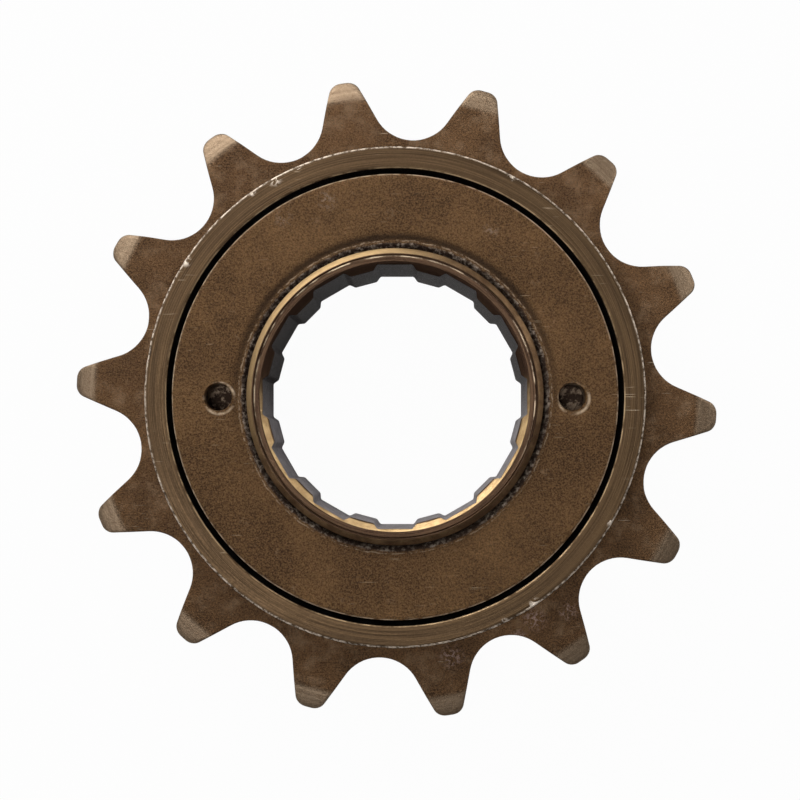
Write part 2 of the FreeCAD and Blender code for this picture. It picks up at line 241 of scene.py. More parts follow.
def tooth_gap_outline():
    """Points and outward normals of the outline from tooth to tooth, about a gap at 0 degrees."""
    half_pitch = 180.0 / tooth_count
    seat_end = 180.0 - seat_half_angle
    seat_centre = Vector((pitch_radius, 0))
    flank_start = seat_centre + polar(seat_radius, seat_end)
    inward = polar(1, seat_end)
    along = Vector((inward.y, -inward.x))
    offset = flank_start + inward * tip_corner_radius
    reach = tip_radius - tip_corner_radius
    run = -offset.dot(along) + math.sqrt(offset.dot(along) ** 2 - offset.dot(offset) + reach**2)
    corner = offset + along * run
    tip_start = math.degrees(math.atan2(corner.y, corner.x))
    side = []
    for step in range(9):
        degrees = 180.0 - seat_half_angle * step / 9
        side.append((seat_centre + polar(seat_radius, degrees), -polar(1, degrees)))
    for step in range(7):
        side.append((flank_start + along * (run * step / 7), -inward))
    corner_from = seat_end + 180.0
    corner_turn = tip_start + 360.0 - corner_from
    for step in range(7):
        degrees = corner_from + corner_turn * step / 7
        side.append((corner + polar(tip_corner_radius, degrees), polar(1, degrees)))
    for step in range(4):
        degrees = tip_start + (half_pitch - tip_start) * step / 4
        side.append((polar(tip_radius, degrees), polar(1, degrees)))
    mirrored = [
        (Vector((point.x, -point.y)), Vector((normal.x, -normal.y)))
        for point, normal in side[:0:-1]
    ]
    return mirrored + side


def turned(vector, degrees):
    angle = math.radians(degrees)
    cos, sin = math.cos(angle), math.sin(angle)
    return Vector((vector.x * cos - vector.y * sin, vector.x * sin + vector.y * cos))


def tooth_face(radius):
    """How far the worn bevel of the teeth lies below their flat face, at that radius."""
    slope = bevel_depth / (tip_radius - bevel_radius)
    past = radius - bevel_radius
    return (past + math.sqrt(past**2 + 0.5)) / 2 * slope


def ratchet_radius(degrees):
    """The sawtooth inside the sprocket."""
    step = 360.0 / ratchet_count
    phase = (degrees - pawl_heels[0] - ratchet_phase) % step
    rise = ratchet_root - ratchet_crest
    if phase < crest_turn:
        return ratchet_crest
    if phase < step - drive_turn:
        return ratchet_crest + rise * (phase - crest_turn) / (step - crest_turn - drive_turn)
    return ratchet_root - rise * (phase - step + drive_turn) / drive_turn


def sprocket_rim(degrees):
    """The ring's section in front of the teeth: bore, front face, wall and fillet."""
    nick = 0.34 * chip(degrees, 9, 3, 0.42) + 0.07 * chip(degrees, 40, 4, 0.1)
    inner = 0.05 + 0.05 * chip(degrees, 30, 5, 0.0)
    flow = 0.025 * wear(degrees, 14, 6)
    crest = barrel_radius - 0.2 - nick + flow
    wall = barrel_radius - 0.015
    centre = (barrel_radius + root_fillet, tooth_front + root_fillet)
    fillet = rounded(centre, root_fillet, 180, 270, 5)
    return [
        (bore_radius, ring_face - 0.16 - inner),
        (bore_radius + 0.02, ring_face - 0.06 - inner * 0.6),
        (bore_radius + 0.09 + inner, ring_face - 0.01),
        *between((bore_radius + 0.25 + inner, ring_face), (crest - 0.2, ring_face), 6),
        (crest - 0.2, ring_face),
        (crest, ring_face - 0.012),
        (crest + 0.1, ring_face - 0.07 - nick * 0.25),
        (wall - nick * 0.25, ring_face - 0.2 - nick * 0.6),
        *between((wall, ring_face - 0.36 - nick * 0.8), (wall, tooth_front + root_fillet), 3),
        *fillet[1:],
    ]


def sprocket_back(degrees):
    """The ring's section behind the teeth: fillet, barrel, rear face, cups and ratchet."""
    nick = 0.2 * chip(degrees, 11, 8, 0.35)
    centre = (barrel_radius + root_fillet, tooth_rear - root_fillet)
    fillet = rounded(centre, root_fillet, 90, 180, 5)
    notch = ratchet_radius(degrees)
    zone_low = rear_balls_z + race_radius
    zone_high = front_balls_z - race_radius
    return [
        *fillet,
        *between(
            (barrel_radius, tooth_rear - root_fillet - 0.1),
            (barrel_radius, barrel_rear + rear_edge),
            6,
        ),
        (barrel_radius - 0.01, barrel_rear + rear_edge),
        (barrel_radius - 0.06, barrel_rear + rear_edge - 0.1),
        (barrel_radius - rear_edge + 0.05, barrel_rear + 0.07 + nick),
        (barrel_radius - rear_edge - 0.06 - nick, barrel_rear),
        (22.0, barrel_rear),
        (bore_radius + 0.15, barrel_rear),
        (bore_radius + 0.03, barrel_rear + 0.04),
        (bore_radius, barrel_rear + 0.15),
        *race(rear_balls_z, 0, 62, 6),
        (max(notch, ratchet_shoulder), zone_low - 0.2),
        (notch, zone_low),
        (notch, (zone_low + zone_high) / 2),
        (notch, zone_high),
        (max(notch, ratchet_shoulder), zone_high + 0.2),
        *race(front_balls_z, -62, 0, 6),
        (bore_radius, ring_face - 1.2),
    ]


def build_sprocket():
    """The whole sprocket ring, one section for each point of the toothed outline."""
    gap = tooth_gap_outline()
    edge = 0.13
    points = []
    columns = 0
    rows = 0
    for tooth in range(tooth_count):
        turn = tooth_phase + 180.0 / tooth_count + tooth * 360.0 / tooth_count
        for point, normal in gap:
            outer = turned(point, turn)
            out = turned(normal, turn)
            degrees = math.degrees(math.atan2(outer.y, outer.x))
            worn = edge * (1 + 0.5 * wear(degrees, 30, 9)) + 0.12 * chip(degrees, 22, 10, 0.3)
            inner = outer - out * worn
            column = []
            for radius, level in sprocket_rim(degrees):
                column.append((*polar(radius, degrees), level))
            foot = polar(barrel_radius + root_fillet, degrees)
            steps = 13
            for step in range(1, steps + 1):
                spot = foot.lerp(inner, step / steps)
                pit = 0.02 * noise.noise(Vector((spot.x * 1.7, spot.y * 1.7, 2.0)))
                height = tooth_front - tooth_face(spot.length) + min(pit, 0.0)
                column.append((spot.x, spot.y, height))
            front = tooth_front - tooth_face(outer.length)
            rear = tooth_rear + tooth_face(outer.length)
            shoulder = outer - out * (worn * 0.3)
            body = outer - out * 0.004
            column.append((*shoulder, front - worn * 0.35))
            for part in (0.0, 0.25, 0.5, 0.75, 1.0):
                column.append((*body, front - worn - (front - rear - 2 * worn) * part))
            column.append((*shoulder, rear + worn * 0.35))
            for step in range(steps, 0, -1):
                spot = foot.lerp(inner, step / steps)
                column.append((spot.x, spot.y, tooth_rear + tooth_face(spot.length)))
            for radius, level in sprocket_back(degrees):
                column.append((*polar(radius, degrees), level))
            rows = len(column)
            columns += 1
            points.extend(column)
    return piece("sprocket", points, loop_faces(columns, rows), 28)


# Bearing cap


def cap_section(degrees):
    """The cap's section: outside edge, face, dish, ragged mouth, bore, nose and race."""
    rag = 0.11 * wear(degrees, 26, 12) + 0.1 * wear(degrees, 60, 13)
    lift = 0.05 * max(0.0, wear(degrees, 45, 14)) + 0.05 * max(0.0, wear(degrees, 80, 15))
    flow = 0.06 * wear(degrees, 5, 16)
    edge = 0.06 * chip(degrees, 34, 17, 0.2)
    return [
        *between((cap_radius, front_balls_z + race_radius), (cap_radius, cap_face - 0.3), 3),
        (cap_radius - 0.01, cap_face - 0.22 - edge),
        (cap_radius - 0.06 - edge, cap_face - 0.07),
        (cap_radius - 0.2 - edge, cap_face),
        *between((cap_radius - 0.4, cap_face), (dish_outer + 0.35 + flow, cap_face), 8),
        (dish_outer + 0.3 + flow, cap_face - 0.005),
        (dish_outer + 0.05 + flow, cap_face - 0.03),
        (dish_wall + flow, cap_face - 0.13),
        (dish_foot + flow * 0.5, cap_face - dish_depth - 0.02),
        (dish_inner + rag * 0.5, cap_face - dish_depth),
        (burr_outer + rag, cap_face - dish_depth + lift * 1.6),
        (burr_inner + rag * 0.8, cap_face - dish_depth + lift),
        (cap_mouth + 0.02 + rag * 0.4, cap_face - dish_depth - 0.05),
        (cap_bore + 0.1, cap_face - dish_depth - 0.3),
        (cap_bore, cap_face - dish_depth - 0.5),
        (cap_bore, (cap_face + cap_nose_z) / 2),
        (cap_bore, cap_nose_z + 0.1),
        (cap_bore + 0.1, cap_nose_z),
        (cap_nose - 0.1, cap_nose_z),
        (cap_nose, cap_nose_z + 0.1),
        *race(front_balls_z, 180, 90, 8),
    ]


def build_cap():
    """The turned cap with its two spanner holes cut."""
    cap = ring("bearing_cap_body", [step * 0.6 for step in range(600)], cap_section, 30)
    cutters = []
    for degrees in (0.0, 180.0):
        spot = polar(hole_circle, degrees)
        sides = 72
        levels = [
            (0.0, cap_face - hole_depth),
            (hole_radius * 0.6, cap_face - hole_depth),
            (hole_radius - 0.12, cap_face - hole_depth + 0.02),
            (hole_radius, cap_face - hole_depth + 0.14),
            (hole_radius, cap_face - 0.1),
            (hole_radius + 0.1, cap_face + 0.02),
            (hole_radius + 0.12, cap_face + 0.5),
            (0.0, cap_face + 0.5),
        ]
        points = []
        for side in range(sides):
            for radius, height in levels:
                rim = spot + polar(radius, side * 360.0 / sides)
                points.append((rim.x, rim.y, height))
        faces = []
        rows = len(levels)
        for side in range(sides):
            here = side * rows
            after = ((side + 1) % sides) * rows
            for row in range(rows - 1):
                faces.append((here + row, after + row, after + row + 1, here + row + 1))
        cutter = piece("hole_cutter", points, faces)
        work = bmesh.new()
        work.from_mesh(cutter.data)
        bmesh.ops.remove_doubles(work, verts=work.verts, dist=1e-7)
        work.to_mesh(cutter.data)
        work.free()
        cut = cap.modifiers.new("hole", "BOOLEAN")
        cut.operation = "DIFFERENCE"
        cut.solver = "EXACT"
        cut.object = cutter
        cutters.append(cutter)
    shown = cap.evaluated_get(bpy.context.evaluated_depsgraph_get())
    finished = bpy.data.meshes.new_from_object(shown)
    cap.modifiers.clear()
    cap.data = finished
    smooth(finished, 30)
    for cutter in cutters:
        bpy.data.objects.remove(cutter)
    return cap


# Core


def spline_wall(degrees):
    """The bore's radius between the remover splines: flat crests, sloped flanks and flat roots."""
    step = 360.0 / spline_count
    phase = abs((degrees - spline_phase + step / 2) % step - step / 2)
    root_edge = step / 2 - root_half_angle
    if phase <= crest_half_angle:
        flat = crest_radius * math.cos(math.radians(crest_half_angle))
        return flat / math.cos(math.radians(phase))
    if phase >= root_edge:
        flat = root_radius * math.cos(math.radians(root_half_angle))
        return flat / math.cos(math.radians(step / 2 - phase))
    share = (phase - crest_half_angle) / (root_edge - crest_half_angle)
    return crest_radius + (root_radius - crest_radius) * (3 * share**2 - 2 * share**3)


def pocket_radius(degrees, depth):
    """How far out the core reaches beside the pawls: its land, or the floor of a pawl's pocket."""
    along = Vector(pocket_way)
    inward = Vector((along.y, -along.x))
    first = Vector(pocket_start) + inward * depth
    last = Vector(pocket_start) + along * pocket_length + inward * depth
    for heel in pawl_heels:
        phase = math.radians((degrees - heel + 180) % 360 - 180)
        if not pocket_before < math.degrees(phase) < pocket_after:
            continue
        reach = land_radius
        aside = pawl_pivot * math.sin(phase)
        if abs(aside) < pawl_socket:
            reach = pawl_pivot * math.cos(phase) - math.sqrt(pawl_socket**2 - aside**2)
        ray = Vector((math.cos(phase), math.sin(phase)))
        run = last - first
        origin = Vector((pawl_pivot + first.y, first.x))
        step = Vector((run.y, run.x))
        cross = ray.x * step.y - ray.y * step.x
        hit = (origin.x * step.y - origin.y * step.x) / cross
        if phase > math.radians(1.0):
            reach = min(reach, hit)
        return reach
    return land_radius


def thread_wall(degrees, height):
    """The radius of the right-hand hub thread at that angle and height."""
    phase = (height / thread_pitch - degrees / 360.0) % 1.0
    rise = min(1.0, max(0.0, (abs(phase - 0.5) * 2 - 0.14) / 0.7))
    fade = min(1.0, max(0.0, (thread_end - height) / 0.5))
    return thread_minor + (thread_major - thread_minor) * max(rise, 1.0 - fade)


def core_section(degrees):
    """The core's section: rear face, flange and race, pawl land, neck, lip, splines and thread."""
    wall = spline_wall(degrees)
    slope = lead_in_depth / (lead_in_radius - crest_radius)
    nick = 0.1 * chip(degrees, 18, 21, 0.25)
    ripple = 0.02 * wear(degrees, 24, 22)
    burr = 0.02 * wear(degrees, 50, 23)
    middle = (rear_balls_z + front_balls_z) / 2
    cone_foot = lip_face - 0.05 - (lead_in_radius - wall) * slope
    slot = pocket_radius(degrees, spring_floor_depth)
    pocket = pocket_radius(degrees, pawl_floor_depth)
    threads = 80
    drop = (thread_end - thread_mouth) / threads
    return [
        (relief_radius + 0.03, 0.03),
        (relief_radius + 0.1, 0.0),
        (seat_face_radius - 0.1, 0.0),
        (seat_face_radius, 0.1),
        (seat_face_radius, seat_height),
        *between((seat_face_radius + 0.1, seat_height), (cap_radius - 0.15, seat_height), 4),
        (cap_radius - 0.12 - nick, seat_height),
        (cap_radius, seat_height + 0.12 + nick),
        (cap_radius, rear_balls_z - race_radius),
        *race(rear_balls_z, -90, -236.9, 12),
        (land_radius, middle - pawl_half_width - 0.01),
        (pocket, middle - pawl_half_width),
        (pocket, middle - spring_half_width - 0.01),
        (slot, middle - spring_half_width),
        (slot, middle + spring_half_width),
        (pocket, middle + spring_half_width + 0.01),
        (pocket, middle + pawl_half_width),
        (land_radius, middle + pawl_half_width + 0.01),
        (land_radius, land_front - 0.1),
        (land_radius - 0.1, land_front),
        (neck_radius, land_front),
        *between((neck_radius, land_front + 0.2), (neck_radius, lip_shoulder - 0.12), 4),
        (neck_radius - 0.01, lip_shoulder - 0.04),
        (neck_radius - 0.07, lip_shoulder + 0.04 - nick),
        (neck_radius - 0.3, lip_shoulder + 0.23),
        (lip_land + 0.08, lip_face - 0.07 - nick * 0.5),
        (lip_land + 0.01 + ripple, lip_face - 0.02),
        (lip_land - 0.05 + ripple, lip_face - 0.006),
        (lip_land - 0.1 + ripple, lip_face - 0.07),
        (lip_land - 0.15 + ripple, lip_face - 0.1),
        (lip_land - 0.2 + ripple, lip_face - 0.05),
        (lip_land - 0.25 + burr, lip_face - 0.012),
        (lip_land - 0.31 + burr, lip_face - 0.03),
        (lip_land - 0.42, lip_face - 0.045),
        (lead_in_radius + 0.12, lip_face - 0.05),
        (lead_in_radius + 0.03, lip_face - 0.06),
        (lead_in_radius - 0.01, lip_face - 0.09),
        *between((lead_in_radius - 0.03, lip_face - 0.1), (wall + 0.03, cone_foot), 4),
        (wall + 0.03, cone_foot),
        (wall, cone_foot - 0.06),
        *between((wall, cone_foot - 0.3), (wall, spline_rear + 0.1), 6),
        (wall, spline_rear + 0.06),
        (wall + 0.06, spline_rear),
        (relief_radius, spline_rear),
        (relief_radius, thread_end + 0.02),
        *[
            (thread_wall(degrees, thread_end - drop * level), thread_end - drop * level)
            for level in range(threads + 1)
        ],
    ]


def build_core():
    """The core, with columns set closer where the splines have their corners."""
    step = 360.0 / spline_count
    root_edge = step / 2 - root_half_angle
    angles = []
    for spline in range(spline_count):
        middle = spline_phase + spline * step
        for share in range(10):
            angles.append(middle - crest_half_angle + 2 * crest_half_angle * share / 10)
        for share in range(4):
            angles.append(middle + crest_half_angle + (root_edge - crest_half_angle) * share / 4)
        for share in range(12):
            angles.append(middle + root_edge + 2 * root_half_angle * share / 12)
        for share in range(4):
            angles.append(middle + step - root_edge + (root_edge - crest_half_angle) * share / 4)
    return ring("core_body", angles, core_section, 30)


def build_balls(name, height, count=37):
    """One row of polished balls, as one mesh."""
    work = bmesh.new()
    for number in range(count):
        spot = polar(ball_circle, number * 360.0 / count)
        place = Matrix.Translation(Vector((spot.x, spot.y, height)) * MM)
        bmesh.ops.create_icosphere(work, subdivisions=3, radius=ball_radius * MM, matrix=place)
    mesh = bpy.data.meshes.new(name)
    work.to_mesh(mesh)
    work.free()
    for polygon in mesh.polygons:
        polygon.use_smooth = True
    made = bpy.data.objects.new(name, mesh)
    bpy.context.scene.collection.objects.link(made)
    return made


# Materials


class Look:
    """A node material in the making. Its places are in millimetres on the part."""

    def __init__(self, name):
        self.material = bpy.data.materials.new(name)
        self.material.use_nodes = True
        self.tree = self.material.node_tree
        self.shader = self.tree.nodes["Principled BSDF"]
        place = self.tree.nodes.new("ShaderNodeTexCoord").outputs["Object"]
        self.place = self.vector("SCALE", place, scale=1000.0)
        split = self.tree.nodes.new("ShaderNodeSeparateXYZ")
        self.tree.links.new(self.place, split.inputs[0])
        self.x, self.y, self.z = split.outputs
        flat = self.tree.nodes.new("ShaderNodeCombineXYZ")
        self.join(self.x, flat.inputs[0])
        self.join(self.y, flat.inputs[1])
        self.radius = self.vector("LENGTH", flat.outputs[0], output="Value")
        self.way = self.vector("NORMALIZE", flat.outputs[0])

    def join(self, value, socket):
        if isinstance(value, (int, float, tuple)):
            socket.default_value = value
        else:
            self.tree.links.new(value, socket)

    def vector(self, operation, a, b=None, scale=None, output="Vector"):
        node = self.tree.nodes.new("ShaderNodeVectorMath")
        node.operation = operation
        self.join(a, node.inputs[0])
        if b is not None:
            self.join(b, node.inputs[1])
        if scale is not None:
            node.inputs["Scale"].default_value = scale
        return node.outputs[output]

    def math(self, operation, a, b=0.0, clamp=False):
        node = self.tree.nodes.new("ShaderNodeMath")
        node.operation = operation
        node.use_clamp = clamp
        self.join(a, node.inputs[0])
        self.join(b, node.inputs[1])
        return node.outputs[0]

    def span(self, value, low, high, start=0.0, end=1.0):
        """value from low to high, smoothly mapped to start to end."""
        node = self.tree.nodes.new("ShaderNodeMapRange")
        node.interpolation_type = "SMOOTHSTEP"
        self.join(value, node.inputs["Value"])
        ends = {"From Min": low, "From Max": high, "To Min": start, "To Max": end}
        for name, number in ends.items():
            node.inputs[name].default_value = number
        return node.outputs["Result"]

    def distance(self, x, y):
        """How far each place is from the line parallel to the axis through x and y."""
        across = self.math("SUBTRACT", self.x, x)
        along = self.math("SUBTRACT", self.y, y)
        across = self.math("MULTIPLY", across, across)
        return self.math("SQRT", self.math("ADD", across, self.math("MULTIPLY", along, along)))

    def near(self, value, centre, width):
        """1 where value is at centre, and 0 where it is that width away."""
        away = self.math("ABSOLUTE", self.math("SUBTRACT", value, centre))
        return self.span(away, 0.0, width, 1.0, 0.0)

    def noise(self, scale, detail=4.0, roughness=0.6, place=None, distortion=0.0):
        node = self.tree.nodes.new("ShaderNodeTexNoise")
        self.join(self.place if place is None else place, node.inputs["Vector"])
        node.inputs["Scale"].default_value = scale
        node.inputs["Detail"].default_value = detail
        node.inputs["Roughness"].default_value = roughness
        node.inputs["Distortion"].default_value = distortion
        return node.outputs["Fac"]

    def rings(self, fineness, length, detail=3.0):
        """Noise drawn out round the axis, as a lathe tool leaves it."""
        spread = self.vector("SCALE", self.way, scale=length)
        node = self.tree.nodes.new("ShaderNodeCombineXYZ")
        self.join(self.math("MULTIPLY", self.radius, fineness), node.inputs[0])
        split = self.tree.nodes.new("ShaderNodeSeparateXYZ")
        self.tree.links.new(spread, split.inputs[0])
        self.join(split.outputs[0], node.inputs[1])
        height = self.math("MULTIPLY", self.z, fineness)
        self.join(self.math("ADD", split.outputs[1], height), node.inputs[2])
        return self.noise(1.0, detail, 0.6, node.outputs[0])

    def mix(self, factor, a, b):
        node = self.tree.nodes.new("ShaderNodeMix")
        node.data_type = "RGBA"
        self.join(factor, node.inputs["Factor"])
        self.join(a, node.inputs[6])
        self.join(b, node.inputs[7])
        return node.outputs[2]

    def finish(self, colour, roughness, metallic, bumps):
        """Sets the shader. bumps are pairs of a height and how deep it is in millimetres."""
        self.join(colour, self.shader.inputs["Base Color"])
        self.join(roughness, self.shader.inputs["Roughness"])
        self.join(metallic, self.shader.inputs["Metallic"])
        normal = None
        for height, depth in bumps:
            node = self.tree.nodes.new("ShaderNodeBump")
            node.inputs["Strength"].default_value = 1.0
            node.inputs["Distance"].default_value = depth * MM
            self.tree.links.new(height, node.inputs["Height"])
            if normal is not None:
                self.tree.links.new(normal, node.inputs["Normal"])
            normal = node.outputs[0]
        self.tree.links.new(normal, self.shader.inputs["Normal"])
        return self.material


def brown_steel(look, dark, light, patch=0.35, grain=5.0):
    """Oiled, burnished steel: patches a few millimetres wide under a fine grain."""
    patches = look.span(look.noise(patch, 3.0, 0.55), 0.3, 0.7)
    fine = look.span(look.noise(grain, 3.0, 0.7), 0.32, 0.68)
    wide = look.math("MULTIPLY", patches, 0.25)
    blend = look.math("ADD", wide, look.math("MULTIPLY", fine, 0.75))
    return look.mix(blend, dark, light), fine


def marks_at(look, spots, fineness=2.0):
    """Small rubbed marks at given places: (x, y, half width) each, broken up by noise."""
    marks = None
    for x, y, reach in spots:
        mark = look.span(look.distance(x, y), 0.0, reach, 1.0, 0.0)
        marks = mark if marks is None else look.math("MAXIMUM", marks, mark)
    broken = look.span(look.noise(fineness, 3.0, 0.7, distortion=0.8), 0.5, 0.58)
    return look.math("MULTIPLY", marks, broken)


def scratches(look, density=0.6):
    """Thin, short, bright scratches in a few directions."""
    marks = None
    for turn, scale in ((0.5, 1.0), (1.9, 0.8), (2.6, 1.3)):
        node = look.tree.nodes.new("ShaderNodeMapping")
        node.inputs["Rotation"].default_value = (0.0, 0.0, turn)
        node.inputs["Scale"].default_value = (0.35 * scale, 9.0 * scale, 1.0)
        look.join(look.place, node.inputs["Vector"])
        line = look.span(look.noise(1.0, 1.0, 0.4, node.outputs[0]), 0.75, 0.785)
        marks = line if marks is None else look.math("MAXIMUM", marks, line)
    some = look.span(look.noise(0.26, 2.0, 0.5), 0.52, 0.66)
    return look.math("MULTIPLY", look.math("MULTIPLY", marks, some), density)


def sprocket_material():
    look = Look("sprocket_brown_steel")
    body, fine = brown_steel(look, srgb(42, 29, 18), srgb(116, 87, 60), 0.3, 6.5)
    pale = look.span(look.noise(0.55, 4.0, 0.65), 0.46, 0.72)
    body = look.mix(look.math("MULTIPLY", pale, 0.4), body, srgb(138, 114, 90))
    lines = look.rings(9.0, 1.6)
    face = look.mix(look.span(lines, 0.3, 0.7), srgb(60, 46, 31), srgb(90, 71, 50))
    on_ring = look.math("LESS_THAN", look.radius, barrel_radius + 0.01)
    colour = look.mix(on_ring, body, face)
    sway = look.math("MULTIPLY", look.math("SUBTRACT", look.noise(0.16, 1.0, 0.5), 0.5), 0.5)
    reach = look.math("ADD", look.radius, look.math("ADD", sway, look.math("MULTIPLY", fine, 0.22)))
    tips = look.span(reach, bevel_radius - 0.1, bevel_radius + 0.6)
    streak = look.rings(5.0, 4.0)
    tip_colour = look.mix(look.span(streak, 0.25, 0.75), srgb(116, 98, 80), srgb(140, 121, 100))
    stains = look.math("MULTIPLY", look.span(look.noise(2.0, 4.0, 0.7), 0.5, 0.72), 0.5)
    tip_colour = look.mix(stains, tip_colour, srgb(92, 72, 54))
    colour = look.mix(look.math("MULTIPLY", tips, 0.9), colour, tip_colour)
    broken = look.span(look.noise(2.2, 3.0, 0.7), 0.38, 0.6)
    outer_edge = look.near(look.radius, barrel_radius - 0.06, 0.2)
    high = look.span(look.z, ring_face - 0.6, ring_face - 0.25)
    outer_edge = look.math("MULTIPLY", look.math("MULTIPLY", outer_edge, high), broken)
    inner_edge = look.math("MULTIPLY", look.near(look.radius, bore_radius + 0.06, 0.1), high)
    inner_edge = look.math("MULTIPLY", inner_edge, look.span(look.noise(0.5), 0.4, 0.6))
    colour = look.mix(outer_edge, colour, srgb(230, 214, 196))
    colour = look.mix(look.math("MULTIPLY", inner_edge, 0.8), colour, srgb(178, 152, 118))
    colour = look.mix(scratches(look), colour, srgb(190, 172, 148))
    chips = [(*polar(barrel_radius - 0.1, degrees), reach) for degrees, reach in edge_chips]
    chips = look.math("MULTIPLY", marks_at(look, chips, 1.2), high)
    colour = look.mix(chips, colour, srgb(232, 218, 202))
    dents = [(*polar(radius, degrees), reach) for degrees, radius, reach in tooth_dents]
    dents = look.math("MULTIPLY", marks_at(look, dents, 2.4), 0.7)
    colour = look.mix(dents, colour, srgb(160, 134, 124))
    # Painted shade: the ring's inner surfaces, seen down the narrow gap round the cap, are coloured
    # near black.
    inside = look.math("LESS_THAN", look.radius, bore_radius + 0.012)
    colour = look.mix(inside, colour, srgb(30, 24, 20))
    rough = look.span(fine, 0.0, 1.0, 0.42, 0.62)
    rough = look.math("SUBTRACT", rough, look.math("MULTIPLY", tips, 0.1))
    turned_lines = look.math("MULTIPLY", lines, on_ring)
    cast = look.math("MULTIPLY", look.noise(5.0, 5.0, 0.7), look.math("SUBTRACT", 1.0, on_ring))
    cast = look.math("MULTIPLY", cast, look.math("SUBTRACT", 1.0, look.math("MULTIPLY", tips, 0.7)))
    return look.finish(colour, rough, 0.8, [(turned_lines, 0.05), (cast, 0.16), (outer_edge, 0.03)])


def cap_material():
    look = Look("cap_brown_steel")
    body, fine = brown_steel(look, srgb(40, 26, 15), srgb(116, 88, 59), 0.16, 6.5)
    rub = look.span(look.noise(0.9, 4.0, 0.7, distortion=0.6), 0.6, 0.78)
    body = look.mix(look.math("MULTIPLY", rub, 0.4), body, srgb(140, 116, 92))
    sway = look.math("MULTIPLY", look.noise(0.9, 4.0, 0.7), 0.5)
    ragged_radius = look.math("ADD", look.radius, sway)
    mouth = look.span(ragged_radius, dish_inner + 0.16, dish_inner - 0.04)
    # Painted shade: the dish is darkened more and more towards the top, where its slope faces away
    # from the light.
    painted_dish_shade = look.near(look.radius, dish_foot + 0.1, 0.6)
    painted_dish_shade = look.math("MULTIPLY", painted_dish_shade, look.span(look.y, -9.0, 13.0, 0.0, 0.75))
    body = look.mix(painted_dish_shade, body, srgb(34, 25, 18))
    flakes = look.span(look.noise(2.6, 3.0, 0.65), 0.44, 0.7)
    flakes = look.math("MULTIPLY", flakes, look.span(look.noise(0.3), 0.36, 0.6, 0.4, 1.0))
    ragged = look.mix(flakes, srgb(50, 38, 30), srgb(152, 138, 124))
    colour = look.mix(mouth, body, ragged)
    crumbs = look.near(ragged_radius, dish_foot + 0.06, 0.09)
    crumbs = look.math("MULTIPLY", crumbs, look.span(look.noise(1.7, 3.0, 0.7), 0.42, 0.6))
    colour = look.mix(look.math("MULTIPLY", crumbs, 0.6), colour, srgb(160, 140, 118))
    edge = look.near(look.radius, cap_radius - 0.07, 0.13)
    high = look.span(look.z, cap_face - 0.5, cap_face - 0.25)
    broken = look.span(look.noise(1.1, 3.0, 0.6), 0.35, 0.55)
    edge = look.math("MULTIPLY", look.math("MULTIPLY", edge, high), broken)
    colour = look.mix(look.math("MULTIPLY", edge, 0.85), colour, srgb(190, 168, 142))
    # Painted shade: the cap's outer wall, which faces the ring across the narrow gap, is coloured
    # near black.
    outside = look.math("GREATER_THAN", look.radius, cap_radius - 0.004)
    colour = look.mix(outside, colour, srgb(28, 22, 18))
    colour = look.mix(scratches(look, 0.5), colour, srgb(180, 160, 132))
    smears = [(*polar(radius, degrees), reach) for degrees, radius, reach in cap_smears]
    smears = look.math("MULTIPLY", marks_at(look, smears, 2.0), 0.4)
    colour = look.mix(smears, colour, srgb(146, 130, 116))
    colour = look.mix(hole_marks(look), colour, srgb(176, 156, 132))
    pit = look.math("LESS_THAN", look.z, cap_face - 0.9)
    floor_scratch = look.span(look.noise(1.4, 3.0, 0.7), 0.45, 0.62)
    pit_colour = look.mix(floor_scratch, srgb(52, 40, 32), srgb(140, 122, 104))
    colour = look.mix(pit, colour, pit_colour)
    rough = look.span(fine, 0.0, 1.0, 0.4, 0.6)
    grit = look.noise(4.6, 5.0, 0.72)
    return look.finish(colour, rough, 0.82, [(grit, 0.15), (flakes, 0.03)])


def hole_marks(look):
    """Bright rubbed crescents round the spanner holes."""
    marks = None
    for side, lean in ((1.0, 0.16), (-1.0, 0.1)):
        away = look.distance(side * hole_circle + lean, -0.12)
        mark = look.near(away, hole_radius + 0.16, 0.22)
        marks = mark if marks is None else look.math("MAXIMUM", marks, mark)
    broken = look.span(look.noise(0.8, 3.0, 0.6), 0.38, 0.6)
    return look.math("MULTIPLY", look.math("MULTIPLY", marks, broken), 0.85)


